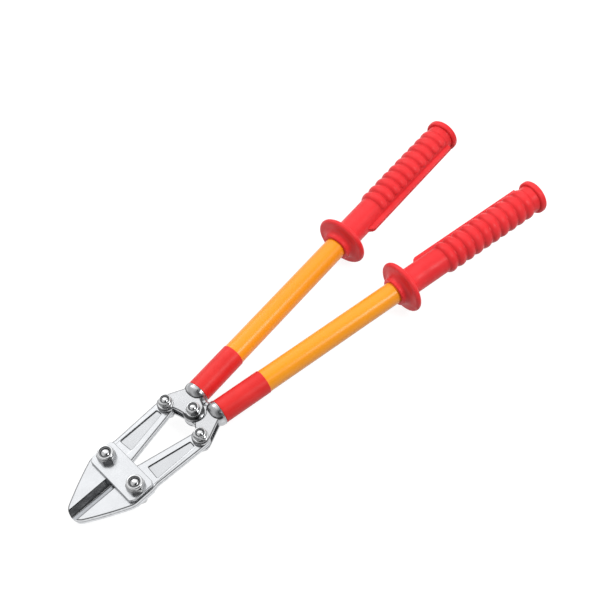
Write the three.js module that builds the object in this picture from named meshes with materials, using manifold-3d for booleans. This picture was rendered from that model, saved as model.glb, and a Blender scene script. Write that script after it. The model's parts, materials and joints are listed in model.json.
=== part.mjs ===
// Insulated bolt cutters, closed, lying flat.
// Millimetres. +X runs from the grips to the jaw tips, +Y to the left handle, +Z along the pivot bolts.
// Pieces are drawn from the centre pivot, then the whole tool is moved so that its box is centred.

import * as THREE from 'three';
import { mergeVertices } from 'three/addons/utils/BufferGeometryUtils.js';
import Module from 'manifold-3d';

const wasm = await Module();
wasm.setup();

// ---- Driving dimensions -------------------------------------------------------------------------

// Pivots, in plan
const JAW_PIVOT = [94.3, 22.55];
const FORK_PIVOT = [14.2, 26.85];

// Layers, as heights above the middle plane
const BLADE_HALF = 4.5;        // cutting end of a jaw
const ARM_HALF = 4.0;          // arm of a jaw, and the tongue of the left fork
const SLOT_HALF = 4.3;         // gap between the cheeks of a fork
const CHEEK_TOP = 7.9;
const PLATE_BASE = 4.7;
const PLATE_TOP = 8.9;

// Jaws
const TIP_X = 157.9;
const EDGE_GAP = 0.15;         // half the gap between the closed cutting edges
const BEVEL_WIDTH = 6.8;
const EYE_RADIUS = 9.0;
const POCKET_DEPTH = 1.5;

// Link plates
const PLATE_REAR_X = 79.7;
const PLATE_FRONT_X = 109;
const PLATE_HALF_LENGTH = 33;
const PLATE_CHAMFER = 3.2;

// Forks
const BOSS_RADIUS = 9.2;
const EAR_RADIUS = 11.1;
const CENTRE_CLEARANCE = 13.2; // swept circle kept free around the centre pivot
const SLOT_RADIUS = 10.2;      // swept circle kept free around the end of a jaw's arm
const SOCKET_RADIUS = 13.8;
const SOCKET_DOME = 10;
const SOCKET_END = 19.4;
const TANG_RADIUS = 10.2;
const TANG_END = 64;
const STOP_RADIUS = 4;
const STOP_X = -15.2;

// Handles, along their own axis from the point beside the centre pivot
const HANDLE_ANGLE = THREE.MathUtils.degToRad(6.8);
const HANDLE_Y = 14.3;
const TUBE_RADIUS = 12.5;
const TUBE_BORE = 10.5;
const TUBE_START = 19.8;
const TUBE_END = 452;
const PIN_S = 46;
const PIN_RADIUS = 2.5;
const SLEEVE_RADIUS = 13.15;
const SLEEVE_END = 75.5;
const FIT = 0.1;               // gap on a fitted surface
const HANDLE_ROUND = 24;       // facets around the handles
const BOLT_ROUND = 16;         // facets around bolts and their holes

// Grips
const GRIP_RADIUS = 15.2;
const GRIP_START = 250;
const COLLAR_RADIUS = 16.6;
const GUARD_S = 261.8;
const GUARD_RADIUS = 30.3;
const GUARD_HALF = 3.4;
const RIDGES = 10;
const RIDGE_FIRST = 324;
const RIDGE_PITCH = 12.7;
const RIDGE_RADIUS = 17.7;
const RIDGE_VALLEY = 16.1;
const FIN_START = 294;
const FIN_END = 446;
const FIN_REACH = 20;
const FIN_HALF = 3;
const END_FLANGE_RADIUS = 19.7;
const END_FLANGE_START = 452.5;
const GRIP_END = 460.5;

// Fasteners: thread radius, hexagon across flats, nut and head heights
const M10 = { radius: 5, flats: 17, nut: 10, head: 6.4 };
const M8 = { radius: 4, flats: 13, nut: 6.6, head: 5.3 };
const HOLE_CLEARANCE = 0.2;
const OPEN_PIVOT_HOLE = 6.1;   // hole of the left fork's tongue, which lets the linkage close
const WASHER_RADIUS = 8;
const WASHER_THICKNESS = 1.2;

// The rim of an end flange, on its inner side, is the rearmost point of the tool
const END_FACE_RADIUS = END_FLANGE_RADIUS - 2.4;
const REAR_X = -(GRIP_END * Math.cos(HANDLE_ANGLE) + END_FACE_RADIUS * Math.sin(HANDLE_ANGLE));
const BOX_CENTRE_X = (TIP_X + REAR_X) / 2;

// ---- Materials ----------------------------------------------------------------------------------

const MATERIALS = {
  bright_steel: { color: 0xe4e7ea, roughness: 0.22, metalness: 1 },
  forged_steel: { color: 0xc4c7ca, roughness: 0.32, metalness: 1 },
  plated_steel: { color: 0xcfd2d4, roughness: 0.2, metalness: 1 },
  dark_nylon: { color: 0x2f3234, roughness: 0.55, metalness: 0 },
  orange_tube: { color: 0xffa82e, roughness: 0.35, metalness: 0 },
  red_sleeve: { color: 0xe62e2b, roughness: 0.4, metalness: 0 },
  red_rubber: { color: 0xe8343a, roughness: 0.5, metalness: 0 },
};

// ---- Solids -------------------------------------------------------------------------------------

function solid(geometry) {
  const plain = geometry.index ? geometry.toNonIndexed() : geometry.clone();
  plain.deleteAttribute('normal');
  plain.deleteAttribute('uv');
  const merged = mergeVertices(plain, 1e-4);
  return new wasm.Manifold(new wasm.Mesh({
    numProp: 3,
    vertProperties: new Float32Array(merged.attributes.position.array),
    triVerts: new Uint32Array(merged.index.array),
  }));
}

function slab(shape, z0, z1, curveSegments = 10) {
  const geometry = new THREE.ExtrudeGeometry(shape, { depth: z1 - z0, bevelEnabled: false, curveSegments });
  return solid(geometry.translate(0, 0, z0));
}

function polygon(points) {
  return new THREE.Shape(points.map(([x, y]) => new THREE.Vector2(x, y)));
}

// A turned solid about the Y axis from [radius, distance] pairs
function turnedY(profile, segments = HANDLE_ROUND) {
  return solid(new THREE.LatheGeometry(profile.map(([r, s]) => new THREE.Vector2(r, s)), segments));
}

// A turned solid about the vertical axis through a point in plan
function turned(profile, [x, y] = [0, 0], segments = BOLT_ROUND) {
  const geometry = new THREE.LatheGeometry(profile.map(([r, z]) => new THREE.Vector2(r, z)), segments);
  return solid(geometry.rotateX(Math.PI / 2).translate(x, y, 0));
}

function drum(radius, z0, z1, place, segments = BOLT_ROUND) {
  return turned([[0, z0], [radius, z0], [radius, z1], [0, z1]], place, segments);
}

function ring(inner, outer, z0, z1, place, segments = BOLT_ROUND) {
  return turned([[inner, z0], [outer, z0], [outer, z1], [inner, z1], [inner, z0]], place, segments);
}

function piece(name, body, material) {
  const mesh = body.getMesh();
  const geometry = new THREE.BufferGeometry();
  geometry.setAttribute('position', new THREE.BufferAttribute(new Float32Array(mesh.vertProperties), 3));
  geometry.setIndex(new THREE.BufferAttribute(new Uint32Array(mesh.triVerts), 1));
  geometry.computeVertexNormals();
  const item = new THREE.Mesh(geometry, new THREE.MeshStandardMaterial(MATERIALS[material]));
  item.name = name;
  return item;
}

// ---- Jaw ----------------------------------------------------------------------------------------

// Plan of a whole jaw: rounded nose, nearly straight outer edge, tapering arm and the eye at its end
function jawOutline() {
  const [ex, ey] = FORK_PIVOT;
  const outer = THREE.MathUtils.degToRad(87.5);
  const inner = THREE.MathUtils.degToRad(258.4);
  const shape = new THREE.Shape();
  shape.moveTo(TIP_X, EDGE_GAP);
  shape.quadraticCurveTo(TIP_X - 0.4, 7.6, 151.5, 11.4);
  shape.quadraticCurveTo(130, 24.2, 109.5, 33.4);
  shape.quadraticCurveTo(106.5, 34.6, 103, 34.6);
  shape.lineTo(84, 34.4);
  shape.quadraticCurveTo(80, 33.6, 76, 33.1);
  shape.lineTo(ex + EYE_RADIUS * Math.cos(outer), ey + EYE_RADIUS * Math.sin(outer));
  shape.absarc(ex, ey, EYE_RADIUS, outer, inner, false);
  shape.lineTo(77.7, 4.4);
  shape.lineTo(95, EDGE_GAP);
  return shape;
}

// Wedge taken off the cutting edge above or below the middle plane
function bevel(up) {
  const reach = BLADE_HALF + 1;
  const slope = BEVEL_WIDTH / BLADE_HALF;
  const shape = polygon([[-1, 0.25 * up], [0, 0.25 * up], [slope * reach, reach * up], [-1, reach * up]]);
  const geometry = new THREE.ExtrudeGeometry(shape, { depth: 62, bevelEnabled: false });
  return solid(geometry.rotateX(Math.PI / 2).rotateZ(Math.PI / 2).translate(98, EDGE_GAP, 0));
}

function jaw() {
  const pocket = polygon([[73.4, 28.8], [25, 29.1], [24.4, 22.2], [72.1, 12.95]]);
  const arm = polygon([[80, -5], [80, 50], [-5, 50], [-5, -5]]);
  let body = slab(jawOutline(), -BLADE_HALF, BLADE_HALF, 12);
  for (const side of [-1, 1]) {
    const low = Math.min(side * ARM_HALF, side * 9);
    const high = Math.max(side * ARM_HALF, side * 9);
    const floor = side * (ARM_HALF - POCKET_DEPTH);
    body = body.subtract(slab(arm, low, high));
    body = body.subtract(slab(pocket, Math.min(floor, side * 9), Math.max(floor, side * 9)));
    body = body.subtract(bevel(side));
  }
  body = body.subtract(drum(M10.radius + HOLE_CLEARANCE, -10, 10, JAW_PIVOT));
  return body.subtract(drum(M8.radius + HOLE_CLEARANCE, -10, 10, FORK_PIVOT));
}

// ---- Link plate ---------------------------------------------------------------------------------

function linkPlate(z0, z1) {
  const long = PLATE_HALF_LENGTH;
  const short = long - PLATE_CHAMFER;
  const rear = PLATE_REAR_X;
  const front = PLATE_FRONT_X;
  const cut = PLATE_CHAMFER + 1.5;
  const outline = polygon([
    [rear, -short], [rear + cut * 0.6, -long], [front - cut, -long], [front, -short],
    [front, short], [front - cut, long], [rear + cut * 0.6, long], [rear, short],
  ]);
  let body = slab(outline, z0, z1);
  for (const side of [-1, 1]) {
    const place = [JAW_PIVOT[0], side * JAW_PIVOT[1]];
    body = body.subtract(drum(M10.radius + HOLE_CLEARANCE, -20, 20, place));
  }
  return body;
}

// ---- Forks --------------------------------------------------------------------------------------

// Plan shared by both forks: straight outer edge, boss at the jaw pivot, hollow front, ear at the centre
function forkOutline() {
  const [bx, by] = FORK_PIVOT;
  const edge = THREE.MathUtils.degToRad(114.5);
  const hollow = THREE.MathUtils.degToRad(-100);
  const earFront = THREE.MathUtils.degToRad(33);
  const earRear = THREE.MathUtils.degToRad(-168);
  const shape = new THREE.Shape();
  shape.moveTo(-17, 22.7);
  shape.lineTo(bx + BOSS_RADIUS * Math.cos(edge), by + BOSS_RADIUS * Math.sin(edge));
  shape.absarc(bx, by, BOSS_RADIUS, edge, hollow, true);
  shape.quadraticCurveTo(10.2, 12, EAR_RADIUS * Math.cos(earFront), EAR_RADIUS * Math.sin(earFront));
  shape.absarc(0, 0, EAR_RADIUS, earFront, earRear, true);
  shape.lineTo(-13.5, 5);
  shape.lineTo(-17, 5);
  return shape;
}

// Rounded socket behind the cheeks, and the tang that fills the front of the tube
function socketAndTang() {
  const profile = [];
  const steps = 7;
  for (let i = 0; i <= steps; i += 1) {
    const turn = (i / steps) * Math.PI / 2;
    const s = SOCKET_END - 2.2 - SOCKET_DOME * Math.cos(turn);
    profile.push([SOCKET_RADIUS * Math.sin(turn), s]);
  }
  profile.push([SOCKET_RADIUS, SOCKET_END], [TANG_RADIUS, SOCKET_END], [TANG_RADIUS, TANG_END - 1.5]);
  profile.push([TANG_RADIUS - 1.5, TANG_END], [0, TANG_END]);
  return onHandle(turnedY(profile));
}

// Moves a solid from the handle's own axis (Y along it, X away from the other handle) into place
function onHandle(body) {
  return body.rotate([0, 0, 90 - THREE.MathUtils.radToDeg(HANDLE_ANGLE)]).translate([0, HANDLE_Y, 0]);
}

function forkBlank() {
  const stop = solid(new THREE.CylinderGeometry(STOP_RADIUS, STOP_RADIUS, 7 - EDGE_GAP, 20))
    .translate([STOP_X, (7 + EDGE_GAP) / 2, 0]);
  const armSlot = polygon([[14.2, 16.7], [40, 5], [40, 60], [-12, 60], [-12, 19.5], [4.6, 23.8]]);
  const pinHole = onHandle(drum(PIN_RADIUS + HOLE_CLEARANCE, -20, 20, [0, PIN_S]));
  return slab(forkOutline(), -CHEEK_TOP, CHEEK_TOP, 10)
    .add(socketAndTang())
    .add(stop)
    .subtract(slab(armSlot, -SLOT_HALF, SLOT_HALF))
    .subtract(drum(SLOT_RADIUS, -SLOT_HALF, SLOT_HALF, FORK_PIVOT))
    .subtract(drum(M8.radius + HOLE_CLEARANCE, -20, 20, FORK_PIVOT))
    .subtract(pinHole);
}

// Two ears reach over and under the centre; the space between them is open to the front
function forkWithEars() {
  const frontSlot = polygon([[0, -20], [40, -20], [40, 24], [7, 24], [5.5, 12]]);
  return forkBlank()
    .subtract(drum(CENTRE_CLEARANCE + 0.2, -SLOT_HALF, SLOT_HALF))
    .subtract(slab(frontSlot, -SLOT_HALF, SLOT_HALF))
    .subtract(drum(M8.radius + HOLE_CLEARANCE, -20, 20));
}

// One tongue fits between those ears, with a round step around them
function forkWithTongue() {
  return forkBlank()
    .subtract(drum(CENTRE_CLEARANCE, ARM_HALF, 20))
    .subtract(drum(CENTRE_CLEARANCE, -20, -ARM_HALF))
    .subtract(drum(OPEN_PIVOT_HOLE, -20, 20));
}

// ---- Handle pieces, on the handle's own axis ----------------------------------------------------

function pinHole(reach) {
  return drum(PIN_RADIUS + HOLE_CLEARANCE, -reach, reach, [0, PIN_S]);
}

function handleTube() {
  const wall = turnedY([
    [TUBE_BORE, TUBE_START], [TUBE_RADIUS, TUBE_START], [TUBE_RADIUS, TUBE_END], [TUBE_BORE, TUBE_END],
    [TUBE_BORE, TUBE_START],
  ]);
  return wall.subtract(pinHole(20));
}

function tangPin() {
  const half = TUBE_RADIUS - FIT - 0.3;
  return turned([
    [0, -half], [PIN_RADIUS - 0.4, -half], [PIN_RADIUS, -half + 0.4], [PIN_RADIUS, half - 0.4],
    [PIN_RADIUS - 0.4, half], [0, half],
  ], [0, PIN_S]);
}

function sleeve() {
  const bore = TUBE_RADIUS + FIT;
  return turnedY([
    [bore, TUBE_START], [SLEEVE_RADIUS, TUBE_START], [SLEEVE_RADIUS, SLEEVE_END - 0.2],
    [SLEEVE_RADIUS - 0.2, SLEEVE_END], [bore, SLEEVE_END], [bore, TUBE_START],
  ]);
}

// Outer side of the grip from front to back: collar, dished guard, plain length, ridges, end flange
function gripProfile() {
  const front = GUARD_S - GUARD_HALF;
  const back = GUARD_S + GUARD_HALF;
  const rim = GUARD_RADIUS;
  const profile = [
    [TUBE_RADIUS + FIT, GRIP_START], [COLLAR_RADIUS - 1.4, GRIP_START], [COLLAR_RADIUS, GRIP_START + 1.4],
    [COLLAR_RADIUS + 0.4, front + 0.6], [rim - 2.4, front], [rim - 0.8, front + 0.8], [rim, GUARD_S],
    [rim - 0.8, back - 0.8], [rim - 2.4, back], [GRIP_RADIUS + 1.5, back], [GRIP_RADIUS, back + 1.5],
    [GRIP_RADIUS, RIDGE_FIRST - RIDGE_PITCH * 0.6],
  ];
  for (let i = 0; i < RIDGES; i += 1) {
    const s = RIDGE_FIRST + i * RIDGE_PITCH;
    profile.push([RIDGE_RADIUS, s], [RIDGE_VALLEY, s + RIDGE_PITCH / 2]);
  }
  profile.push([RIDGE_VALLEY - 0.4, END_FLANGE_START], [END_FLANGE_RADIUS - 1.5, END_FLANGE_START]);
  profile.push([END_FLANGE_RADIUS, END_FLANGE_START + 2], [END_FLANGE_RADIUS, GRIP_END - 2.4]);
  profile.push([END_FACE_RADIUS, GRIP_END], [0, GRIP_END]);
  profile.push([0, TUBE_END + 0.3], [TUBE_RADIUS + FIT, TUBE_END + 0.3], [TUBE_RADIUS + FIT, GRIP_START]);
  return profile;
}

// Straight rib on the side that faces the other handle, with a bevelled front end
function gripFin() {
  const root = 13.4;
  const outline = polygon([
    [-root, FIN_START - 3], [-FIN_REACH + 1, FIN_START], [-FIN_REACH, FIN_START + 3],
    [-FIN_REACH, FIN_END], [-root, FIN_END],
  ]);
  return slab(outline, -FIN_HALF, FIN_HALF);
}

function grip() {
  const bore = turnedY([
    [0, GRIP_START - 5], [TUBE_RADIUS + FIT, GRIP_START - 5], [TUBE_RADIUS + FIT, TUBE_END + 0.3],
    [0, TUBE_END + 0.3],
  ]);
  return turnedY(gripProfile()).add(gripFin()).subtract(bore);
}

// ---- Fasteners ----------------------------------------------------------------------------------

function hexagon(flats) {
  const corner = flats / Math.sqrt(3);
  const points = [];
  for (let i = 0; i < 6; i += 1) {
    const turn = (i + 0.5) * Math.PI / 3;
    points.push([corner * Math.cos(turn), corner * Math.sin(turn)]);
  }
  return polygon(points);
}

// Hexagonal prism with its corners turned off at one or both ends
function hexBody(flats, z0, z1, chamferLow, chamferHigh) {
  const corner = flats / Math.sqrt(3);
  const flat = flats / 2;
  const rise = corner - flat;
  const envelope = turned([
    [0, z0], [chamferLow ? flat : corner, z0], [corner, z0 + (chamferLow ? rise * 0.6 : 0)],
    [corner, z1 - (chamferHigh ? rise * 0.6 : 0)], [chamferHigh ? flat : corner, z1], [0, z1],
  ].filter(([r, z], i, list) => i === 0 || r !== list[i - 1][0] || z !== list[i - 1][1]));
  return slab(hexagon(flats), z0, z1).intersect(envelope);
}

// Head below, plain shank, and a domed end that shows inside the nut
function bolt(size, headTop, endZ) {
  const head = hexBody(size.flats, headTop - size.head, headTop, true, false);
  const r = size.radius;
  const shank = turned([
    [0, headTop - 1], [r, headTop - 1], [r, endZ - 2.2], [r * 0.86, endZ - 1.1], [r * 0.55, endZ - 0.3],
    [0, endZ],
  ]);
  return head.add(shank);
}

// Lock nut: hexagon, then a round collar that holds the insert under a turned-in lip
function lockNut(size, base) {
  const top = base + size.nut;
  const hexTop = base + size.nut * 0.66;
  const collar = size.flats / 2 - 0.5;
  const bore = size.radius + FIT;
  const outer = turned([
    [0, base], [size.flats / 2, base], [collar, hexTop], [collar, top - 1.3], [collar - 1.3, top], [0, top],
  ]);
  const inner = turned([
    [0, base - 1], [bore, base - 1], [bore, hexTop + 0.2], [size.radius + 1.5, hexTop + 0.2],
    [size.radius + 1.5, top - 0.9], [size.radius + 0.8, top - 0.9], [size.radius + 0.8, top + 1], [0, top + 1],
  ]);
  return hexBody(size.flats, base, hexTop, false, true).add(outer).subtract(inner);
}

function lockInsert(size, base) {
  const low = base + size.nut * 0.66 + 0.3;
  return ring(size.radius + FIT, size.radius + 1.4, low, base + size.nut - 1);
}

function washer(base) {
  return ring(M8.radius + FIT, WASHER_RADIUS, base, base + WASHER_THICKNESS);
}

// Bolt, nut and insert of one pivot, placed together
function addPivot(parent, name, size, [x, y], clampHalf, hasWasher) {
  const group = new THREE.Group();
  const base = clampHalf + FIT + (hasWasher ? WASHER_THICKNESS + FIT : 0);
  group.position.set(x, y, 0);
  group.add(piece(`${name}_bolt`, bolt(size, -clampHalf - FIT, base + size.nut - 0.4), 'plated_steel'));
  group.add(piece(`${name}_nut`, lockNut(size, base), 'plated_steel'));
  group.add(piece(`${name}_nut_insert`, lockInsert(size, base), 'dark_nylon'));
  if (hasWasher) {
    group.add(piece(`${name}_washer`, washer(clampHalf + FIT), 'plated_steel'));
  }
  parent.add(group);
}

// ---- Assembly -----------------------------------------------------------------------------------

function addHandle(parent, side) {
  const axis = new THREE.Group();
  axis.position.set(0, HANDLE_Y, 0);
  axis.rotation.z = Math.PI / 2 - HANDLE_ANGLE;
  axis.add(piece(`${side}_handle_tube`, handleTube(), 'orange_tube'));
  axis.add(piece(`${side}_tang_pin`, tangPin(), 'plated_steel'));
  axis.add(piece(`${side}_sleeve`, sleeve(), 'red_sleeve'));
  axis.add(piece(`${side}_grip`, grip(), 'red_rubber'));
  parent.add(axis);
}

const tool = new THREE.Group();
tool.position.x = -BOX_CENTRE_X;
tool.add(piece('top_link_plate', linkPlate(PLATE_BASE, PLATE_TOP), 'bright_steel'));
tool.add(piece('bottom_link_plate', linkPlate(-PLATE_TOP, -PLATE_BASE), 'bright_steel'));

for (const side of ['left', 'right']) {
  const half = new THREE.Group();
  const sign = side === 'left' ? 1 : -1;
  half.rotation.x = side === 'left' ? 0 : Math.PI;
  half.add(piece(`${side}_jaw`, jaw(), 'bright_steel'));
  half.add(piece(`${side}_fork`, side === 'left' ? forkWithTongue() : forkWithEars(), 'forged_steel'));
  addHandle(half, side);
  tool.add(half);
  addPivot(tool, `${side}_jaw`, M10, [JAW_PIVOT[0], sign * JAW_PIVOT[1]], PLATE_TOP, false);
  addPivot(tool, `${side}_fork`, M8, [FORK_PIVOT[0], sign * FORK_PIVOT[1]], CHEEK_TOP, true);
}
addPivot(tool, 'centre', M8, [0, 0], CHEEK_TOP, true);

const boltCutters = new THREE.Group();
boltCutters.add(tool);

export default boltCutters;
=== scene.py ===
"""Insulated bolt cutters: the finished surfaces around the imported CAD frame. Metres, +X to the jaw tips."""

import json

import bmesh
import bpy
import numpy as np
from mathutils import Matrix, Vector
from mathutils.geometry import tessellate_polygon


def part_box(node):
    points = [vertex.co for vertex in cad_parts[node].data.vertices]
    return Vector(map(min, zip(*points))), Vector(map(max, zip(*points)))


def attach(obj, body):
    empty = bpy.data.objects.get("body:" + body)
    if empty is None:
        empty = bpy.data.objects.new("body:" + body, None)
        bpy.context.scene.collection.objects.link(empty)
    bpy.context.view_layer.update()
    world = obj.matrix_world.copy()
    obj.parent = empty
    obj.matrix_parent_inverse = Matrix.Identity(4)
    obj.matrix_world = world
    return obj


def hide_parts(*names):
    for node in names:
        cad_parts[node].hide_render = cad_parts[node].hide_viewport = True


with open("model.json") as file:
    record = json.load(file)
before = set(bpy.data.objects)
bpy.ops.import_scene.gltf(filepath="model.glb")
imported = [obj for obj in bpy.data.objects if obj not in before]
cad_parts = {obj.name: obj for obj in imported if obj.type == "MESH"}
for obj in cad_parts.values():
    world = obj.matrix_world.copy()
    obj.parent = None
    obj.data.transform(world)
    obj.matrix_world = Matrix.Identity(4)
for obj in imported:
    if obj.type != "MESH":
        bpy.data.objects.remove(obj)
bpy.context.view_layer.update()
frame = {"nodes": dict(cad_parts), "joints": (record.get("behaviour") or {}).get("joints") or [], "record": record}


# ---- Jaws ------------------------------------------------------------------------------------------
# Two drop-forged steel jaws, ground flat, plated bright and left sharp along the cutting bevels.
# Each is one plate: a blade, a tapering arm with a shallow forged pocket, and an eye at the rear end.

mm = 0.001
SIDES = {"left": 1, "right": -1}
pivots = {joint["name"]: np.array(joint["pos_m"]) for joint in frame["joints"]}


class Wire:
    """One output of a shader node. Arithmetic on it adds Math nodes; node() adds any other node."""

    def __init__(self, tree, output=None):
        self.tree = tree
        self.output = output

    def node(self, kind, settings=None, inputs=None, output=0):
        """A node of this kind: its settings first, then the values or links of its sockets."""
        item = self.tree.nodes.new(kind)
        for name, value in (settings or {}).items():
            if name == "stops":
                ramp = item.color_ramp.elements
                while len(ramp) < len(value):
                    ramp.new(0.5)
                for stop, (place, shade) in zip(ramp, value):
                    stop.position = place
                    stop.color = (*shade, 1) if isinstance(shade, tuple) else (shade, shade, shade, 1)
            else:
                setattr(item, name, value)
        for name, value in (inputs or {}).items():
            if isinstance(value, Wire):
                self.tree.links.new(value.output, item.inputs[name])
            else:
                item.inputs[name].default_value = value
        return Wire(self.tree, item.outputs[output])

    def maths(self, operation, first, second=0.0):
        """A Math node on two values or links."""
        return self.node("ShaderNodeMath", {"operation": operation}, {0: first, 1: second})

    def __add__(self, other):
        return self.maths("ADD", self, other)

    def __sub__(self, other):
        return self.maths("SUBTRACT", self, other)

    def __rsub__(self, other):
        return self.maths("SUBTRACT", other, self)

    def __mul__(self, other):
        return self.maths("MULTIPLY", self, other)

    __radd__ = __add__
    __rmul__ = __mul__

    def noise(self, scale, detail=3.0, roughness=0.55, stretch=(1, 1, 1)):
        """Noise over the piece's own coordinates, stretched along an axis for drawn or ground marks."""
        place = self.node("ShaderNodeTexCoord", output="Object")
        place = self.node("ShaderNodeMapping", inputs={"Vector": place, "Scale": stretch})
        values = {"Vector": place, "Scale": scale, "Detail": detail, "Roughness": roughness}
        return self.node("ShaderNodeTexNoise", inputs=values, output="Fac")

    def between(self, low, high):
        """0 below low, 1 above high, and a smooth step from one to the other."""
        values = {"Value": self, "From Min": low, "From Max": high}
        return self.node("ShaderNodeMapRange", {"interpolation_type": "SMOOTHSTEP"}, values)

    def blend(self, first, second):
        """A colour that goes from first to second as this value goes from 0 to 1."""
        colours = [value if isinstance(value, Wire) else (*value, 1) for value in (first, second)]
        values = {"Factor": self, "A": colours[0], "B": colours[1]}
        return self.node("ShaderNodeMix", {"data_type": "RGBA"}, values, "Result")


def finish(name, colour, roughness, metallic, bump, **constants):
    """A Principled material: colour, roughness and bump height come from functions of a Wire."""
    material = bpy.data.materials.new(name)
    material.use_nodes = True
    tree = material.node_tree
    shader = tree.nodes["Principled BSDF"]
    start = Wire(tree)
    for key, value in {"Metallic": metallic, **constants}.items():
        shader.inputs[key].default_value = value
    tree.links.new(colour(start).output, shader.inputs["Base Color"])
    tree.links.new(roughness(start).output, shader.inputs["Roughness"])
    height, distance = bump(start)
    normal = start.node("ShaderNodeBump", inputs={"Strength": 1.0, "Distance": distance, "Height": height})
    tree.links.new(normal.output, shader.inputs["Normal"])
    return material


def painted_shade(wire):
    """The piece's mask of painted shade: 1 on broken edges, in crevices and in hollows, where the colour is
    painted darker, 0 on open faces.
    """
    return wire.node("ShaderNodeAttribute", {"attribute_name": "edge"}, output="Fac")


def arc(centre, radius, start, end, count):
    """Points on a circle between two angles in degrees."""
    turn = np.radians(np.linspace(start, end, count))
    return np.asarray(centre)[:2] + radius * np.stack([np.cos(turn), np.sin(turn)], 1)


def curve(first, pull, last, count):
    """Points on a quadratic curve from first to last, drawn towards pull."""
    t = np.linspace(0, 1, count)[:, None]
    return (1 - t) ** 2 * np.array(first) + 2 * t * (1 - t) * np.array(pull) + t ** 2 * np.array(last)


def line(first, last, count):
    """Evenly spaced points on a straight line."""
    t = np.linspace(0, 1, count)[:, None]
    return (1 - t) * np.array(first) + t * np.array(last)


def tidy_loop(parts):
    """The parts joined to one closed outline, without points that repeat the one before."""
    points = np.concatenate(parts)
    return points[np.linalg.norm(points - np.roll(points, 1, axis=0), axis=1) > 0.01 * mm]


def inset(outline, depth):
    """Each point moved inwards by its depth along the bisector of its two edges, mitred at corners."""
    depth = np.broadcast_to(depth, len(outline))[:, None]
    ahead = np.roll(outline, -1, axis=0) - outline
    ahead /= np.linalg.norm(ahead, axis=1)[:, None]
    out = np.stack([ahead[:, 1], -ahead[:, 0]], 1)
    before = np.roll(out, 1, axis=0)
    return outline - depth * (out + before) / (1 + (out * before).sum(1))[:, None]


def rounded_rows(low, high, radius, fade):
    """(inset, height, mask) of each row up a wall whose two edges are quarter circles: radius times
    1 - cosine in, radius times sine up. The mask, which marks painted shade, is 1 round the edge and fades out on
    the flat."""
    turn = np.linspace(0, np.pi / 2, 5)
    depth, rise = radius * (1 - np.cos(turn)), radius * np.sin(turn)
    mask = np.where(turn > 0, 1, 0)
    top = np.stack([depth, high - radius + rise, mask], 1)
    bottom = np.stack([depth, low + radius - rise, mask], 1)[::-1]
    return np.concatenate([[[radius + fade, low, 0]], bottom, top, [[radius + fade, high, 0]]])


class Shell:
    """Points, faces and mask of one piece, gathered surface by surface."""

    def __init__(self):
        self.points, self.faces, self.edge = [], [], []
        self.count = 0

    def add(self, points, edge=0.0):
        """Adds points and returns their numbers."""
        points = np.asarray(points, float)
        self.points.append(points)
        self.edge.append(np.broadcast_to(np.asarray(edge, float), len(points)))
        self.count += len(points)
        return np.arange(self.count - len(points), self.count)

    def grid(self, points, edge=0.0, closed=True):
        """Quads over a (rows, columns, 3) array of points, wrapped round its columns if closed."""
        rows, columns = points.shape[:2]
        edge = np.broadcast_to(np.asarray(edge, float), (rows, columns)).reshape(-1)
        number = self.add(points.reshape(-1, 3), edge).reshape(rows, columns)
        if closed:
            number = np.concatenate([number, number[:, :1]], 1)
        quads = np.stack([number[:-1, :-1], number[:-1, 1:], number[1:, 1:], number[1:, :-1]], -1)
        self.faces += quads.reshape(-1, 4).tolist()
        return number[:, :columns]

    def lid(self, loops, up):
        """Triangles across the first loop, less the other loops, facing up or down."""
        every = np.concatenate(self.points)
        flat = [[Vector((*every[number][:2], 0)) for number in loop] for loop in loops]
        numbers = np.concatenate(loops)
        for triangle in tessellate_polygon(flat):
            a, b, c = numbers[list(triangle)]
            side = np.cross(every[b] - every[a], every[c] - every[a])[2]
            self.faces.append([a, b, c] if (side > 0) == up else [a, c, b])

    def piece(self, name, material, body, nodes, sharp=32):
        """The finished mesh object: doubles merged, smooth shaded up to the sharp angle, riding its body."""
        mesh = bpy.data.meshes.new(name)
        mesh.from_pydata(np.concatenate(self.points), [], self.faces)
        mask = mesh.attributes.new("edge", "FLOAT", "POINT")
        mask.data.foreach_set("value", np.concatenate(self.edge).astype(np.float32))
        work = bmesh.new()
        work.from_mesh(mesh)
        bmesh.ops.remove_doubles(work, verts=work.verts, dist=2e-6)
        bmesh.ops.dissolve_degenerate(work, edges=work.edges, dist=1e-7)
        work.to_mesh(mesh)
        work.free()
        mesh.shade_smooth()
        mesh.set_sharp_from_angle(angle=np.radians(sharp))
        mesh.materials.append(material)
        item = bpy.data.objects.new(name, mesh)
        bpy.context.scene.collection.objects.link(item)
        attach(item, body)
        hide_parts(*nodes)


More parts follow.
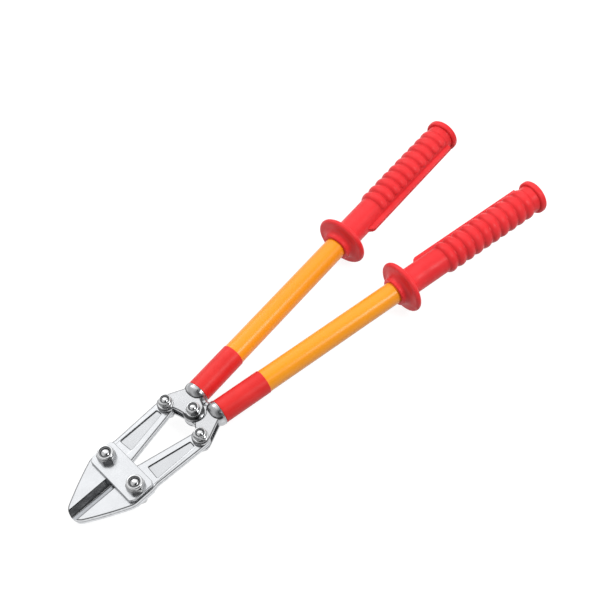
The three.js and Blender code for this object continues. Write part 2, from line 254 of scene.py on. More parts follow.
def steel(name, tint, smooth, rough, grain, marks, wall, rim):
    """Plated steel: roughness in clouds from smooth to rough, and fine marks drawn out by marks, grain
    deep. Walls that stand upright keep their forged skin, with lighter clouds, and are painted darker,
    wall times the tint, as painted shade. Broken edges and hollows carry painted shade, rim times the tint."""
    cloudy, skin, light_skin, edge = (tuple(value * part for value in tint)
                                      for part in (0.95, wall, wall * 1.25, rim))

    def lying(w):
        """1 on faces that lie flat, 0 on walls: from the size of the normal's Z."""
        values = {0: w.node("ShaderNodeNewGeometry", output="Normal"), 1: (0, 0, 1)}
        rise = w.node("ShaderNodeVectorMath", {"operation": "DOT_PRODUCT"}, values, "Value")
        return w.maths("ABSOLUTE", rise).between(0.3, 0.8)

    def colour(w):
        cloud = w.noise(60, 3).between(0.35, 0.65)
        forged = w.noise(260, 4).between(0.3, 0.7).blend(skin, light_skin)
        # Painted shade: walls darker than flat faces, and the masked edges, crevices and hollows darker still.
        return (painted_shade(w) * 0.95).blend(lying(w).blend(forged, cloud.blend(cloudy, tint)), edge)

    def roughness(w):
        cloud = w.noise(90, 4).between(0.3, 0.7)
        lines = w.noise(900, 2, 0.6, marks).between(0.4, 0.6)
        return smooth + (rough - smooth) * (cloud * 0.6 + lines * 0.4) + (1 - lying(w)) * 0.16

    def bump(w):
        return w.noise(700, 3, 0.6, marks) + w.noise(160, 2) * 0.6, grain

    return finish(name, colour, roughness, 1.0, bump)


bright_steel = steel("bright_steel", (0.62, 0.632, 0.65), 0.17, 0.25, 0.00004, (0.12, 1, 1), 0.9, 0.1)

centre = np.array([sum(corner) / 2 for corner in zip(*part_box("centre_bolt"))])
fork_pivot = pivots["left_handle_fold"] - centre
tip_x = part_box("left_jaw")[1].x - centre[0]
blade_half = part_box("left_jaw")[1].z
arm_half = 4.0 * mm
edge_y = 0.15 * mm
bevel_start = 96 * mm
bevel_run = 3 * mm
bevel_width = 6.8 * mm
bevel_land = 0.25 * mm
eye_radius = 9.0 * mm
pocket_depth = 1.5 * mm


def jaw_outline():
    """Plan of the left jaw from the tip round the nose, out along the blade, arm, eye, and back inside."""
    nose_side = (151.5 * mm, 11.4 * mm)
    shoulder = (109.5 * mm, 33.4 * mm)
    widest = (103 * mm, 34.6 * mm)
    arm_front = (84 * mm, 34.4 * mm)
    throat = (77.7 * mm, 4.4 * mm)
    edge_rear = (94.5 * mm, edge_y)
    eye = arc(fork_pivot, eye_radius, 87.5, 258.4, 48)
    nose = curve((tip_x, edge_y), (tip_x - 0.4 * mm, 7.6 * mm), nose_side, 24)
    parts = [
        nose,
        curve(nose_side, (130 * mm, 24.2 * mm), shoulder, 24),
        curve(shoulder, (106.5 * mm, 34.6 * mm), widest, 8),
        line(widest, arm_front, 6),
        curve(arm_front, (80 * mm, 33.6 * mm), (76 * mm, 33.1 * mm), 8),
        eye,
        line(eye[-1], throat, 12),
        line(throat, edge_rear, 8),
        line(edge_rear, (bevel_start, edge_y), 2),
        line((bevel_start + bevel_run, edge_y), (tip_x, edge_y), 2)[:-1],
    ]
    return tidy_loop(parts), nose


def rounded_polygon(corners, radius, steps=6):
    """A polygon whose corners are replaced by curves that start radius away from them."""
    corners = np.array(corners, float)
    parts = []
    for before, corner, after in zip(np.roll(corners, 1, 0), corners, np.roll(corners, -1, 0)):
        back = (before - corner) / np.linalg.norm(before - corner)
        ahead = (after - corner) / np.linalg.norm(after - corner)
        parts.append(curve(corner + back * radius, corner, corner + ahead * radius, steps))
    return tidy_loop(parts)


def drop_repeats(shell, ring):
    """The numbers of a loop without those whose point repeats the one before."""
    places = np.concatenate(shell.points)[ring]
    return ring[np.linalg.norm(places - np.roll(places, 1, axis=0), axis=1) > 0.001 * mm]


def make_jaw(side):
    """The outline swept from the lower to the upper face. Along the cutting edge each row stands back in
    proportion to its height above the land, which makes the bevel, and the arm is thinner than the blade.
    A pocket with rounded corners is sunk in both faces of the arm."""
    shell = Shell()
    outline, nose = jaw_outline()
    rows = rounded_rows(-blade_half, blade_half, 0.5 * mm, 1 * mm)
    heights = np.linspace(-0.85, 0.85, 9) * blade_half
    slant = np.stack([0 * heights, heights, 0 * heights], 1)
    # The land along the cutting edge is masked, so it is painted darker: painted shade.
    middle = np.concatenate([slant, [[0, -bevel_land, 1], [0, bevel_land, 1]]])
    middle = middle[np.argsort(middle[:, 1])]
    lower, upper = np.split(rows, 2)
    rows = np.concatenate([lower, middle, upper])
    wall = []
    for depth, z, _ in rows:
        flat = inset(outline, depth)
        reach = np.clip((flat[:, 0] - bevel_start) / bevel_run, 0, 1)
        back = max(abs(z) - bevel_land, 0) / (blade_half - bevel_land) * bevel_width
        far = np.interp(edge_y + back, nose[:, 1], nose[:, 0]) - depth
        bevel = edge_y + back * reach
        cut = (flat[:, 0] > bevel_start) & (flat[:, 1] < bevel)
        flat[cut, 1] = bevel[cut]
        flat[cut & (flat[:, 0] > far), 0] = far
        half = arm_half + (blade_half - arm_half) * np.clip((flat[:, 0] - 78 * mm) / (6 * mm), 0, 1)
        wall.append(np.column_stack([flat, z * half / blade_half]))
    number = shell.grid(np.stack(wall), rows[:, 2:3])
    pocket = [(73.4 * mm, 28.8 * mm), (25 * mm, 29.1 * mm), (24.4 * mm, 22.2 * mm), (72.1 * mm, 12.95 * mm)]
    pocket = rounded_polygon(pocket, 1.4 * mm)
    floor = arm_half - pocket_depth
    # The mask paints the pocket's rim and the foot of its wall darker: painted shade.
    steps = np.array([(-0.55 * mm, arm_half, 0), (-0.25 * mm, arm_half, 1), (0, arm_half - 0.25 * mm, 1),
                      (0.15 * mm, floor + 0.4 * mm, 0.6), (0.4 * mm, floor, 0.6), (0.65 * mm, floor, 0.17)])
    sunk = np.stack([np.column_stack([inset(pocket, d)[::-1], np.full(len(pocket), z)]) for d, z, _ in steps])
    for sign, ring in ((1, number[-1]), (-1, number[0])):
        recess = shell.grid((sunk * [1, 1, sign])[::-sign], steps[::-sign, 2:])[::-sign]
        shell.lid([drop_repeats(shell, ring), recess[0]], sign > 0)
        shell.lid([recess[-1]], sign > 0)
    place = np.array([1, SIDES[side], SIDES[side]])
    shell.points = [points * place + centre * [1, 0, 0] for points in shell.points]
    shell.piece(f"{side}_jaw_steel", bright_steel, f"{side}_jaw", [f"{side}_jaw"])


for side in SIDES:
    make_jaw(side)


# ---- Link plates -----------------------------------------------------------------------------------
# Two thick steel straps, one above and one below the jaws, blanked with chamfered corners.
# The jaw bolts clamp them and the jaws turn between them.

def plate(shell, outline, low, high, radius, fade, holes=(), slope=0.0, upper=True):
    """A flat plate with rounded edges: the outline swept up a rounded wall, with round holes through it.
    Where slope is 1, the upper or lower edge is also cut back by a wide shallow chamfer."""
    rows = rounded_rows(low, high, radius, fade)
    chamfer_in, chamfer_down = 2.3 * mm, 1.1 * mm
    wall = []
    for depth, z, _ in rows:
        level = high - z if upper else z - low
        near = level < (high - low) / 2
        part = min(max(1 - level / radius, 0), 1) * near
        drop = (1 - part) * chamfer_down * near * (-1 if upper else 1)
        wall.append(np.column_stack([inset(outline, depth + slope * part * chamfer_in),
                                     z + slope * drop + np.zeros(len(outline))]))
    number = shell.grid(np.stack(wall), rows[:, 2:3])
    tops, bottoms = [number[-1]], [number[0]]
    lip, lip_fade = 0.3 * mm, 0.2 * mm
    # The bores' lips are masked, so they are painted darker: painted shade.
    bore_rows = np.array([(lip + lip_fade, low, 0), (lip, low, 1), (0, low + lip, 0), (0, high - lip, 0),
                          (lip, high, 1), (lip + lip_fade, high, 0)])
    for middle, hole_radius in holes:
        ring = arc(middle, hole_radius, 360, 0, 49)[:-1]
        bore = np.stack([np.column_stack([inset(ring, d), np.full(len(ring), z)]) for d, z, _ in bore_rows])
        number = shell.grid(bore, bore_rows[:, 2:])
        tops.append(number[-1])
        bottoms.append(number[0])
    shell.lid(tops, True)
    shell.lid(bottoms, False)


def make_link_plate(node):
    """The strap's outline, rounded at its corners and edges, with a hole for each jaw bolt."""
    low, high = (np.array(corner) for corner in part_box(node))
    rear, front, end = low[0], high[0], high[1]
    front_cut, rear_cut, end_cut = 4.7 * mm, 2.8 * mm, 3.2 * mm
    corners = [(rear + rear_cut, -end), (front - front_cut, -end), (front, end_cut - end),
               (front, end - end_cut), (front - front_cut, end), (rear + rear_cut, end),
               (rear, end - end_cut), (rear, end_cut - end)]
    shell = Shell()
    holes = [(pivots[f"{side}_jaw_pivot"][:2], 5.2 * mm) for side in SIDES]
    plate(shell, rounded_polygon(corners, 0.9 * mm), low[2], high[2], 0.4 * mm, 0.4 * mm, holes)
    # The plate's painted shade on its edges and bores is halved.
    shell.edge = [mask * 0.5 for mask in shell.edge]
    shell.piece(f"{node}_steel", bright_steel, "head_links", [node])


make_link_plate("top_link_plate")
make_link_plate("bottom_link_plate")


# ---- Forks -----------------------------------------------------------------------------------------
# Forged steel handle ends, plated satin. Two cheeks straddle the end of a jaw's arm; behind them a
# rounded socket with a collar meets the tube, and a tang runs on inside it. The right fork has two
# ears at the centre, the left one a tongue between them.

forged_steel = steel("forged_steel", (0.53, 0.537, 0.55), 0.2, 0.32, 0.00006, (0.5, 1, 1), 0.9, 0.12)

cheek_top = 7.9 * mm
slot_half = 4.3 * mm
boss_radius = 9.2 * mm
ear_radius = 11.1 * mm
recess_radius = 13.2 * mm
socket_radius = 13.8 * mm
handle_end = 460.5 * mm
mounts = {mount["name"]: mount for mount in frame["record"]["mounts"]}


def on_handle(side, points):
    """Places points given as (away from the other handle, along the handle, up) on that handle's axis."""
    mount = mounts[f"{side}_grip_end"]
    along = np.array(mount["axis"])
    start = np.array(mount["pos_m"]) - along * handle_end
    away = np.cross(along, [0, 0, 1]) * SIDES[side]
    points = np.asarray(points)
    return start + points[..., :1] * away + points[..., 1:2] * along + points[..., 2:] * [0, 0, SIDES[side]]


def turned(profile, count=96):
    """A profile of (radius, distance) pairs turned about the handle's axis, as a (rows, columns, 3) grid."""
    radius, along = np.array(profile, float).T[:, :, None]
    turn = np.linspace(0, 2 * np.pi, count, endpoint=False)
    return np.stack(np.broadcast_arrays(radius * np.cos(turn), along, -radius * np.sin(turn)), -1)


def make_fork(side):
    """Cheeks, web or tongue, stop lug, and the turned socket and tang, as one forging."""
    shell = Shell()
    boss = arc(fork_pivot, boss_radius, 114.5, -100, 40)
    ear = arc((0, 0), ear_radius, 33, -168, 56)
    recess = arc((0, 0), recess_radius, 57, 140, 24)
    rear = [line((-17 * mm, 22.7 * mm), boss[0], 6)[:-1], boss]
    eared = [curve(boss[-1], (10.2 * mm, 12 * mm), ear[0], 10), ear,
             line((-13.5 * mm, 5 * mm), (-17 * mm, 5 * mm), 2)]
    stepped = [curve(boss[-1], (10.6 * mm, 13.6 * mm), recess[0], 8), recess,
               line((-13.5 * mm, 6.4 * mm), (-17 * mm, 5 * mm), 2)]
    cheek = tidy_loop(rear + (eared if side == "right" else stepped))[::-1]
    tongue = tidy_loop([
        arc(fork_pivot, 10.2 * mm, 232, 192, 10),
        line((-10.5 * mm, 19.5 * mm), (-16 * mm, 20 * mm), 3),
        line((-16 * mm, 5 * mm), (-13 * mm, 3 * mm), 3),
        arc((0, 0), ear_radius, 192, 393, 56),
    ])
    web = tidy_loop([
        arc(fork_pivot, 10.2 * mm, 228, 192, 10),
        line((-10.5 * mm, 19.5 * mm), (-16 * mm, 20 * mm), 3),
        line((-16 * mm, 6 * mm), (-12.6 * mm, 4 * mm), 3),
        arc((0, 0), 13.4 * mm, 160, 78, 20),
    ])
    fork_hole, ear_hole = (fork_pivot[:2], 4.2 * mm), ((0, 0), 4.2 * mm)
    holes = [fork_hole, ear_hole] if side == "right" else [fork_hole]
    turn = np.degrees(np.arctan2(cheek[:, 1], cheek[:, 0]))
    on_ear = np.linalg.norm(cheek, axis=1) < ear_radius + 0.2 * mm
    slope = on_ear * np.clip((34 - turn) / 16, 0, 1) * np.clip((turn + 170) / 30, 0, 1)
    plate(shell, cheek, slot_half, cheek_top, 0.6 * mm, 0.6 * mm, holes, slope)
    plate(shell, cheek, -cheek_top, -slot_half, 0.6 * mm, 0.6 * mm, holes, slope, False)
    inner = tongue if side == "left" else web
    inner_half = arm_half if side == "left" else slot_half + 0.8 * mm
    inner = inner[::-1] if is_clockwise(inner) else inner
    wide_hole = [((0, 0), 6.1 * mm)] if side == "left" else []
    plate(shell, inner, -inner_half, inner_half, 0.4 * mm, 0.4 * mm, wide_hole)
    shell.points = [points * [1, SIDES[side], SIDES[side]] + centre * [1, 0, 0] for points in shell.points]
    turn = np.radians(np.linspace(0, 90, 15))
    shoulder = np.stack([6.4 * mm + 7.4 * mm * np.sin(turn), 17.4 * mm - 8.9 * mm * np.cos(turn)], 1)
    dome = [(0, 7.8 * mm), (5.6 * mm, 7.8 * mm), *shoulder]
    profile = [*dome, (socket_radius, 17.7 * mm), (13.3 * mm, 17.95 * mm), (13.3 * mm, 18.2 * mm),
               (socket_radius, 18.5 * mm), (socket_radius, 19.2 * mm), (13.55 * mm, 19.4 * mm),
               (10.2 * mm, 19.4 * mm), (10.2 * mm, 62.5 * mm), (8.7 * mm, 64 * mm), (0, 64 * mm)]
    socket = on_handle(side, turned(profile))
    # The dome is painted darker in a narrow band where it rises from the cheeks: painted shade along the seam.
    rise = np.abs(socket[..., 2])
    seam_painted_shade = np.clip((cheek_top + 1.6 * mm - rise) / (0.5 * mm), 0, 1) * (rise > cheek_top - 1 * mm)
    on_dome = np.arange(len(profile))[:, None] < len(dome) - 1
    shell.grid(socket, seam_painted_shade * on_dome)
    lug = turned([(0, edge_y), (3.4 * mm, edge_y), (4 * mm, edge_y + 0.6 * mm), (4 * mm, 7 * mm),
                  (0, 7 * mm)], 32)
    lug = (lug + [-15.2 * mm, 0, 0])[:, ::-1]
    shell.grid(lug * [1, SIDES[side], SIDES[side]] + centre * [1, 0, 0])
    name, body = f"{side}_fork_forging", f"{side}_handle"
    shell.piece(name, forged_steel, body, [f"{side}_fork"])


def is_clockwise(outline):
    """True if the outline's area, by the shoelace sum, is negative."""
    x, y = outline.T
    return (x * np.roll(y, -1) - np.roll(x, -1) * y).sum() < 0


for side in SIDES:
    make_fork(side)


# ---- Bolts, lock nuts, inserts and washers ---------------------------------------------------------
# Plated hexagon bolts with their heads below, and lock nuts on top. Each nut has a round collar that
# grips a dark nylon ring; the bolt's domed end shows inside it. Fork and centre bolts have washers.

plated_steel = steel("plated_steel", (0.72, 0.727, 0.735), 0.08, 0.2, 0.00002, (1, 1, 1), 0.6, 0.25)
dark_nylon = finish(
    "dark_nylon",
    lambda w: w.noise(400, 2).between(0.3, 0.7).blend((0.2, 0.204, 0.21), (0.27, 0.274, 0.28)),
    lambda w: 0.4 + w.noise(300, 2) * 0.2,
    0.0,
    lambda w: (w.noise(1500, 2), 0.00002),
)


def hexagon_reach(flats, turn):
    """Distance from the axis to a hexagon's side, flats / 2 over the cosine of the angle to its middle,
    and no further than the slightly rounded corners."""
    from_middle = (turn + np.pi / 6) % (np.pi / 3) - np.pi / 6
    sharp = flats / 2 / np.cos(from_middle)
    return np.minimum(sharp, flats / 2 * 1.128)


def hexagon_prism(shell, flats, low, high, low_chamfer, high_chamfer, hole):
    """A hexagonal prism whose corners are turned off at the chamfered ends: there each point stands back
    by 0.62 of how far it reaches past the flats. A hole of radius above 0 runs through it."""
    turn = np.linspace(0, 2 * np.pi, 144, endpoint=False) + np.pi / 6
    reach = hexagon_reach(flats, turn)
    drop = (reach - flats / 2) * 0.62
    ring = np.ones_like(turn)
    face = flats / 2 * 0.985 * ring
    foot, head = low + drop * low_chamfer, high - drop * high_chamfer
    soft = 0.12 * mm
    radius = np.stack([hole * ring, face, reach - soft, reach, reach, reach - soft, face, hole * ring])
    base, top = low * ring, high * ring
    height = np.stack([base, base, foot, foot + soft, head - soft, head, top, top])
    # The rounded corners of the chamfers are masked, so they are painted darker: painted shade.
    edge = np.array([0, 0, 1, 0, 0, 1, 0, 0])[:, None]
    if hole > 0:
        radius, height, edge = (np.concatenate([rows, rows[:1]]) for rows in (radius, height, edge))
    shell.grid(np.stack([radius * np.cos(turn), radius * np.sin(turn), height], -1), edge)


def upright(profile):
    """A profile of (radius, height) pairs turned about the vertical axis."""
    radius, height = np.array(profile, float).T[:, :, None]
    turn = np.linspace(0, 2 * np.pi, 72, endpoint=False)
    return np.stack(np.broadcast_arrays(radius * np.cos(turn), radius * np.sin(turn), height), -1)


def soft_rim(wide, top, across, down, count):
    """Profile points of a quarter ellipse from the side, at (wide, top - down), to (wide - across, top)."""
    turn = np.radians(np.linspace(0, 90, count))
    return np.stack([wide - across * (1 - np.cos(turn)), top - down * (1 - np.sin(turn))], 1)


def make_fastener(name, place, body, thread, flats):
    """Bolt, nut and insert of one pivot, at the heights of their CAD nodes. The bolt has a hexagon head,
    a shank, a few thread rings and a domed end; the nut is a hexagon with a hollow collar on top."""
    bolt_low, bolt_high = (corner[2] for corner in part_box(f"{name}_bolt"))
    nut_low, nut_high = (corner[2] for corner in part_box(f"{name}_nut"))
    insert_low, insert_high = (corner[2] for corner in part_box(f"{name}_nut_insert"))
    head_height = {17 * mm: 6.4 * mm, 13 * mm: 5.3 * mm}[flats]
    head_top = bolt_low + head_height

    shell = Shell()
    hexagon_prism(shell, flats, bolt_low, head_top, True, False, 0)
    pitch, thread_depth = 0.75 * mm, 0.4 * mm
    rise = np.arange(nut_high - 5 * mm, bolt_high - 3 * mm, pitch)
    crests = np.stack([thread + 0 * rise, rise], 1)
    threads = np.stack([crests, crests + [-thread_depth, pitch / 2]], 1).reshape(-1, 2)
    end_radius = thread * 0.97
    dome = soft_rim(end_radius, bolt_high + 0.5 * mm, end_radius, thread * 0.55, 9)
    shell.grid(upright([(0, head_top - 1 * mm), (thread, head_top - 1 * mm), *threads, *dome]))
    shell.points = [points + place for points in shell.points]
    shell.piece(f"{name}_bolt_steel", plated_steel, body, [f"{name}_bolt"])

    shell = Shell()
    hex_top = nut_low + (nut_high - nut_low) * 0.66
    collar = flats / 2 - 0.2 * mm
    soft = 0.17 * collar
    lip = thread + 0.9 * mm
    bore = thread + 0.1 * mm
    inner = collar - 2 * mm
    hexagon_prism(shell, flats, nut_low, hex_top, False, True, inner)
    outer = [(collar, nut_low + 1 * mm), (collar, hex_top + 0.2 * mm), (collar, hex_top + 0.7 * mm),
             *soft_rim(collar, nut_high, soft, soft, 9), (lip + 0.2 * mm, nut_high),
             (lip, nut_high - 0.25 * mm), (lip, hex_top + 0.2 * mm), (bore, hex_top + 0.2 * mm),
             (bore, nut_low), (inner, nut_low), (inner, nut_low + 1 * mm), (collar, nut_low + 1 * mm)]
    # The collar's foot on the hexagon and its inside round the insert are masked, so they are painted darker:
    # painted shade.
    crevice_painted_shade = np.zeros((len(outer), 1))
    crevice_painted_shade[:2] = crevice_painted_shade[-8:] = 1
    shell.grid(upright(outer), crevice_painted_shade)
    shell.points = [points + place for points in shell.points]
    shell.piece(f"{name}_nut_steel", plated_steel, body, [f"{name}_nut"])

    shell = Shell()
    wide = thread + 1.4 * mm
    slope = 0.25 * mm
    shell.grid(upright([(bore, insert_low), (wide, insert_low), (wide, insert_high - slope),
                        (wide - slope, insert_high), (bore + slope, insert_high), (bore, insert_high - slope),
                        (bore, insert_low)]))
    shell.points = [points + place for points in shell.points]
    shell.piece(f"{name}_nut_ring", dark_nylon, body, [f"{name}_nut_insert"])


def make_washer(name, place, body):
    """A flat ring with its upper rim rounded by stamping."""
    low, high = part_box(name)
    wide = (high[0] - low[0]) / 2
    rim = soft_rim(wide, high[2], 0.5 * mm, 0.5 * mm, 6)
    bore = 4.1 * mm
    shell = Shell()
    shell.grid(upright([(bore, low[2]), (wide - 0.2 * mm, low[2]), (wide, low[2] + 0.2 * mm), *rim,
                        (bore, high[2]), (bore, low[2])]))
    shell.points = [points + place for points in shell.points]
    shell.piece(f"{name}_steel", plated_steel, body, [name])


for side in SIDES:
    jaw_place, fork_place = (pivots[f"{side}_{joint}"] * [1, 1, 0] for joint in ("jaw_pivot", "handle_fold"))
    make_fastener(f"{side}_jaw", jaw_place, "head_links", 5 * mm, 17 * mm)
    make_fastener(f"{side}_fork", fork_place, f"{side}_handle", 4 * mm, 13 * mm)
    make_washer(f"{side}_fork_washer", fork_place, f"{side}_handle")
make_fastener("centre", centre * [1, 1, 0], "right_handle", 4 * mm, 13 * mm)
make_washer("centre_washer", centre * [1, 1, 0], "right_handle")


# ---- Handle tubes ----------------------------------------------------------------------------------
# Straight insulating tubes, pultruded and lacquered a warm orange, with a soft sheen and faint
# lengthwise streaks. A steel pin under each sleeve holds the tube on the fork's tang.

orange_tube = finish(
    "orange_tube",
    lambda w: w.noise(30, 3, 0.5, (0.2, 1, 1)).between(0.3, 0.7).blend(
        (0.95, 0.325, 0.003), (1.0, 0.355, 0.006)),
    lambda w: 0.3 + w.noise(120, 3) * 0.16,
    0.0,
    lambda w: (w.noise(900, 2, 0.5, (0.08, 1, 1)) + w.noise(260, 2) * 0.5, 0.00003),
    **{"Coat Weight": 0.35, "Coat Roughness": 0.25, "Specular IOR Level": 0.3},
)

tube_radius = 12.5 * mm
tube_start = 19.8 * mm
tube_end = 452 * mm


def make_tube(side):
    """A round tube with slightly broken ends, bored through. The pin through it only gets its plating."""
    soft = 0.3 * mm
    bore = 10.5 * mm
    shell = Shell()
    shell.grid(on_handle(side, turned([
        (bore, tube_start), (tube_radius - soft, tube_start), (tube_radius, tube_start + soft),
        (tube_radius, tube_end - soft), (tube_radius - soft, tube_end), (bore, tube_end), (bore, tube_start),
    ])))
    shell.piece(f"{side}_tube", orange_tube, f"{side}_handle", [f"{side}_handle_tube"])
    pin = frame["nodes"][f"{side}_tang_pin"]
    pin.data.materials.clear()
    pin.data.materials.append(plated_steel)


for side in SIDES:
    make_tube(side)


# ---- Sleeves ---------------------------------------------------------------------------------------
# Red insulating sleeves shrunk over the front of the tubes. They end in a thin, slightly rolled edge
# and lie tight on the tube, with faint waves left by the shrinking.

red_sleeve = finish(
    "red_sleeve",
    lambda w: w.noise(60, 3).between(0.3, 0.7).blend((0.74, 0.02, 0.019), (0.81, 0.028, 0.026)),
    lambda w: 0.33 + w.noise(150, 3) * 0.18,
    0.0,
    lambda w: (w.noise(380, 3, 0.5, (0.4, 1, 1)) + w.noise(60, 2) * 2, 0.00005),
    **{"Specular IOR Level": 0.3},
)

sleeve_end = 75.5 * mm


def make_sleeve(side):
    """A thin tube over the front of the handle tube, its rear edge rolled down on to it."""
    bore = tube_radius + 0.1 * mm
    wide = 13.15 * mm
    lip = soft_rim(wide, sleeve_end, 0.45 * mm, 0.7 * mm, 6)
    front = [(wide - 0.3 * mm, tube_start), (wide, tube_start + 0.3 * mm)]
    shell = Shell()
    shell.grid(on_handle(side, turned([(bore, tube_start), *front, *lip, (bore, sleeve_end),
                                       (bore, tube_start)])))
    shell.piece(f"{side}_sleeve_skin", red_sleeve, f"{side}_handle", [f"{side}_sleeve"])


for side in SIDES:
    make_sleeve(side)


# ---- Grips -----------------------------------------------------------------------------------------
# Moulded red grips pushed over the tube ends: a collar, a dished round hand guard with a rolled rim,
# a plain length, ten rounded ridges, a straight grooved fin on the inner side, and an end flange.

red_rubber = finish(
    "red_rubber",
    # Where masked, between the ridges and in the fin's groove, the red is painted darker: painted shade.
    lambda w: (painted_shade(w) * 0.25).blend(
        w.noise(35, 4).between(0.3, 0.7).blend((0.78, 0.025, 0.03), (0.86, 0.036, 0.042)),
        (0.4, 0.006, 0.009)),
    lambda w: 0.34 + w.noise(110, 4).between(0.3, 0.7) * 0.14,
    0.0,
    lambda w: (w.noise(1400, 2) + w.noise(220, 3) * 0.8, 0.00005),
    **{"Specular IOR Level": 0.25},
)

guard_s = 261.8 * mm
guard_radius = 30.3 * mm
ridge_first = 324 * mm
ridge_pitch = 12.7 * mm
ridge_count = 10
ridge_top = 18 * mm
plain_radius = 15.2 * mm
fin_start, fin_end = 294 * mm, 446 * mm
fin_reach = 20 * mm
fin_half = 3 * mm
groove_depth = 0.9 * mm
flange_radius = 19.7 * mm


def rolled(radius, along, start, end, size, count=7):
    """Points of a circle of the given size round (radius, along), between two angles in degrees."""
    turn = np.radians(np.linspace(start, end, count))
    return np.stack([radius + size * np.cos(turn), along + size * np.sin(turn)], 1)


def grip_rows():
    """(radius, distance, place across a ridge) down the outside of the grip, from collar to end flange.
    The place runs from -1 to 1 across each ridge and is 1 where there is none. The grip widens evenly
    by 0.7 mm along its ridges."""
    rim, rim_size = guard_radius - 3.4 * mm, 3.4 * mm
    tube_side = curve((16.4 * mm, 252.6 * mm), (16.9 * mm, 258.4 * mm), (24.5 * mm, 258.35 * mm), 12)
    hand_side = curve((24.5 * mm, 265.25 * mm), (16.6 * mm, 265.4 * mm), (plain_radius, 271.5 * mm), 12)
    front = [(12.6 * mm, 250.3 * mm), (plain_radius, 250 * mm),
             *rolled(plain_radius, 251.2 * mm, -90, 0, 1.2 * mm),
             *tube_side, *rolled(rim, guard_s, -90, 90, rim_size, 15), *hand_side,
             *[(plain_radius, s * mm) for s in (280, 290, 291, 294, 295.5, 297, 300, 308, 315)]]
    index, u = np.arange(ridge_count)[:, None], np.linspace(-0.5, 0.5, 17)[:-1]
    widened = plain_radius + 0.7 * mm * (index + u + 0.5) / ridge_count
    along = ridge_first + index * ridge_pitch + u * ridge_pitch
    across = np.clip(u / 0.41, -1, 1) + 0 * along
    ridges = np.stack([widened, along, across], -1).reshape(-1, 3)
    rear = handle_end
    end = [(15.9 * mm, 446 * mm), (15.9 * mm, 446.01 * mm), (15.9 * mm, 449 * mm), (16.1 * mm, 451.4 * mm),
           (16.6 * mm, 453.4 * mm), *rolled(flange_radius - 2 * mm, rear - 5.6 * mm, -120, 0, 2 * mm),
           *rolled(flange_radius - 2.6 * mm, rear - 2.6 * mm, 0, 90, 2.6 * mm), (14 * mm, rear), (0, rear)]
    front, end = (np.pad(np.array(part), ((0, 0), (0, 1)), constant_values=1) for part in (front, end))
    return np.concatenate([front, ridges, end])


def make_grip(side):
    """Each row is a circle of its radius, plus a ridge whose height falls as a half ellipse across the
    ridge and again near the fin, which rounds its ends. Between the fin's two ends the columns on the
    inner side leave the circle and follow the fin's square outline with its lengthwise groove."""
    radius, along, across_ridge = grip_rows().T[:, :, None]
    start = np.radians(11.8)
    near_fin = np.linspace(start, np.radians(50), 36)
    round_back = np.linspace(np.radians(50), np.radians(310), 92)[1:-1]
    turn = np.concatenate([near_fin, round_back, 2 * np.pi - near_fin[::-1]])
    near = np.degrees(np.minimum(turn, 2 * np.pi - turn))
    ending = np.clip((40 - near) / 13, 0, 1)
    left = np.clip(1 - across_ridge ** 2 - ending ** 2, 0, 1)
    reach = radius + (ridge_top - radius) * left ** 0.62 * (np.abs(across_ridge) < 1)
    body = np.stack(np.broadcast_arrays(-reach * np.cos(turn), along, reach * np.sin(turn)), -1)
    half = radius * np.sin(start)
    across = np.linspace(-1, 1, 27)[1:-1]
    square = np.minimum(np.clip((1 - np.abs(across)) / 0.16, 0, 1) * 1.4, 1) ** 0.6
    groove = np.abs(across) < 0.24
    on_fin = (along >= fin_start - 0.1 * mm) & (along <= fin_end + 0.001 * mm)
    lead = np.clip((along - (fin_start - 3 * mm)) / (6 * mm), 0, 1)
    inner = np.sqrt(np.maximum(radius ** 2 - (half * across) ** 2, 0))
    height = np.where(on_fin, np.sqrt(lead), 0) * (fin_reach - inner) * square
    proud = inner + height - groove_depth * groove * on_fin
    fin_z = half * across * np.where(on_fin, np.minimum(fin_half / np.maximum(half, fin_half), 1), 1)
    fin = np.stack(np.broadcast_arrays(-proud, along, fin_z), -1)
    grid = np.concatenate([body, fin], 1)
    ridges_end = ridge_first + (ridge_count - 0.5) * ridge_pitch
    beside = (along >= ridge_first - ridge_pitch / 2) & (along < ridges_end)
    # The hollows between the ridges and the fin's groove are masked, so the rubber there is painted darker:
    # painted shade.
    hollow = (1 - left) ** 2 * beside * (near > 14)
    groove_painted_shade = np.concatenate([hollow, groove * on_fin], 1)
    bore = np.array([[0, 452.3 * mm], [12.6 * mm, 452.3 * mm], [12.6 * mm, 251 * mm]])
    bore_radius, bore_along = bore.T[:, :, None]
    angle = np.concatenate([turn, np.arcsin(across * np.sin(start))])
    inside = np.stack(np.broadcast_arrays(-bore_radius * np.cos(angle), bore_along,
                                          bore_radius * np.sin(angle)), -1)
    shell = Shell()
    groove_painted_shade = np.concatenate([np.zeros((len(bore), len(angle))), groove_painted_shade])
    shell.grid(on_handle(side, np.concatenate([inside, grid])), groove_painted_shade)
    shell.piece(f"{side}_grip_moulding", red_rubber, f"{side}_handle", [f"{side}_grip"], 40)


for side in SIDES:
    make_grip(side)


# ---- Floor, light and camera -----------------------------------------------------------------------
# A pale, softly glowing table that slopes from the guards to the jaw bolts' heads, where the tool rests
# on it, with soft light all round and a long lens.

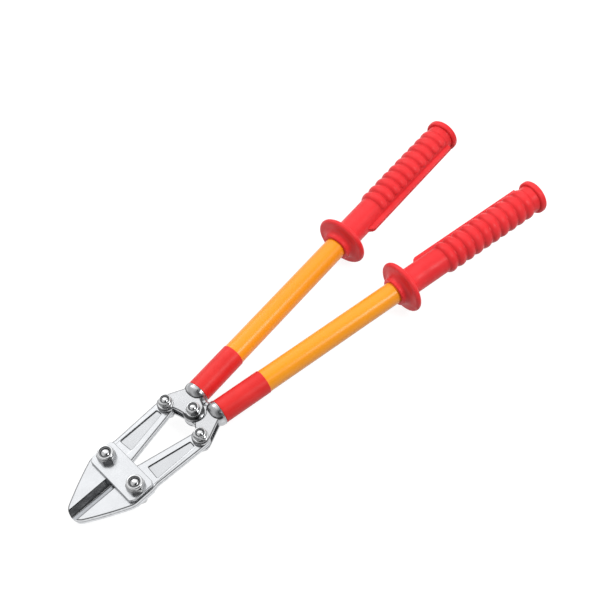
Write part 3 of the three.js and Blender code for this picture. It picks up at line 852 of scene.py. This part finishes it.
floor_mesh = bpy.data.meshes.new("floor")
guard_rest = on_handle("left", np.array([0, guard_s, 0]))[0]
head_rest = pivots["left_jaw_pivot"][0]
guard_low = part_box("left_grip")[0].z
head_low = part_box("left_jaw_bolt")[0].z
fall = (head_low - guard_low) / (head_rest - guard_rest)
table = 4.0 * np.array([[-1, -1], [1, -1], [1, 1], [-1, 1]])
table_z = guard_low - 0.3 * mm + fall * (table[:, 0] - guard_rest)
floor_mesh.from_pydata(np.column_stack([table, table_z]), [], [(0, 1, 2, 3)])
floor = bpy.data.objects.new("floor", floor_mesh)
bpy.context.scene.collection.objects.link(floor)
floor_mesh.materials.append(finish(
    "pale_table",
    lambda w: w.noise(6, 2).blend((0.19, 0.19, 0.19), (0.21, 0.21, 0.21)),
    lambda w: 0.85 + w.noise(30, 2) * 0.1,
    0.0,
    lambda w: (w.noise(400, 2), 0.00001),
    **{"Emission Color": (1, 1, 1, 1), "Emission Strength": 0.9, "Specular IOR Level": 0.0},
))
floor.visible_diffuse = False


def point_at(item, place, target, roll=0.0):
    """Stands an object at a place, looking at the target along its own -Z axis."""
    look = (Vector(target) - Vector(place)).to_track_quat("-Z", "Y")
    item.matrix_world = Matrix.Translation(place) @ look.to_matrix().to_4x4() @ Matrix.Rotation(roll, 4, "Z")


def direction(azimuth, elevation):
    """The unit vector towards an angle round Z from +X and an angle above the level."""
    turn, rise = np.radians(azimuth), np.radians(elevation)
    return np.array([np.cos(rise) * np.cos(turn), np.cos(rise) * np.sin(turn), np.sin(rise)])


def softbox(name, azimuth, elevation, distance, size, power, reflected=True):
    """A square area light that faces the tool, and that its polished faces may or may not mirror."""
    lamp = bpy.data.lights.new(name, "AREA")
    lamp.shape = "SQUARE"
    lamp.size = size
    lamp.energy = power
    item = bpy.data.objects.new(name, lamp)
    bpy.context.scene.collection.objects.link(item)
    item.visible_glossy = reflected
    point_at(item, distance * direction(azimuth, elevation), (0, 0, 0))


softbox("back_light", 230, 58, 1.7, 1.6, 5.5)
softbox("key_light", 266, 40, 1.7, 0.8, 4)
softbox("top_light", 135, 62, 1.7, 0.6, 10, False)
softbox("side_light", 120, 44, 1.7, 0.45, 8)

world = bpy.data.worlds.new("studio")
world.use_nodes = True
sky = Wire(world.node_tree)
toward = sky.node("ShaderNodeTexCoord", output="Generated")


def along_sky(ahead):
    """The cosine of the angle between a part of the sky and the given direction."""
    return sky.node("ShaderNodeVectorMath", {"operation": "DOT_PRODUCT"}, {0: toward, 1: ahead}, "Value")


def patch(azimuth, elevation, inner, outer):
    """1 within the inner angle of a direction in the sky, falling smoothly to 0 at the outer angle."""
    along = along_sky(tuple(direction(azimuth, elevation)))
    return along.between(np.cos(np.radians(outer)), np.cos(np.radians(inner)))


# White all round and dim from below, with dim patches behind the camera and low beside the left
# handle, and an unlit patch high over that side
up = along_sky((0, 0, 1))
clear = (1 - patch(50, 50, 16, 42) * 0.6) * (1 - patch(100, 56, 24, 33)) * (1 - patch(92, 0, 25, 65) * 0.7)
dark = 1 - clear * (0.3 + up.between(-0.45, -0.1) * 0.7)
white, unlit = (1.05, 1.05, 1.05), (0.05, 0.052, 0.055)
shade = dark.blend(white, unlit)
backdrop = world.node_tree.nodes["Background"]
world.node_tree.links.new(shade.output, backdrop.inputs["Color"])
backdrop.inputs["Strength"].default_value = 0.7
bpy.context.scene.world = world

target = np.array([-21.06 * mm, -22.22 * mm, 0])
camera = bpy.data.objects.new("camera", bpy.data.cameras.new("camera"))
camera.data.sensor_width = 36
camera.data.lens = 66.81
camera.data.clip_end = 20
bpy.context.scene.collection.objects.link(camera)
point_at(camera, target + 1.202 * direction(49.73, 55.98), target, np.radians(-4.96))
bpy.context.scene.camera = camera
bpy.context.scene.view_settings.view_transform = "Standard"
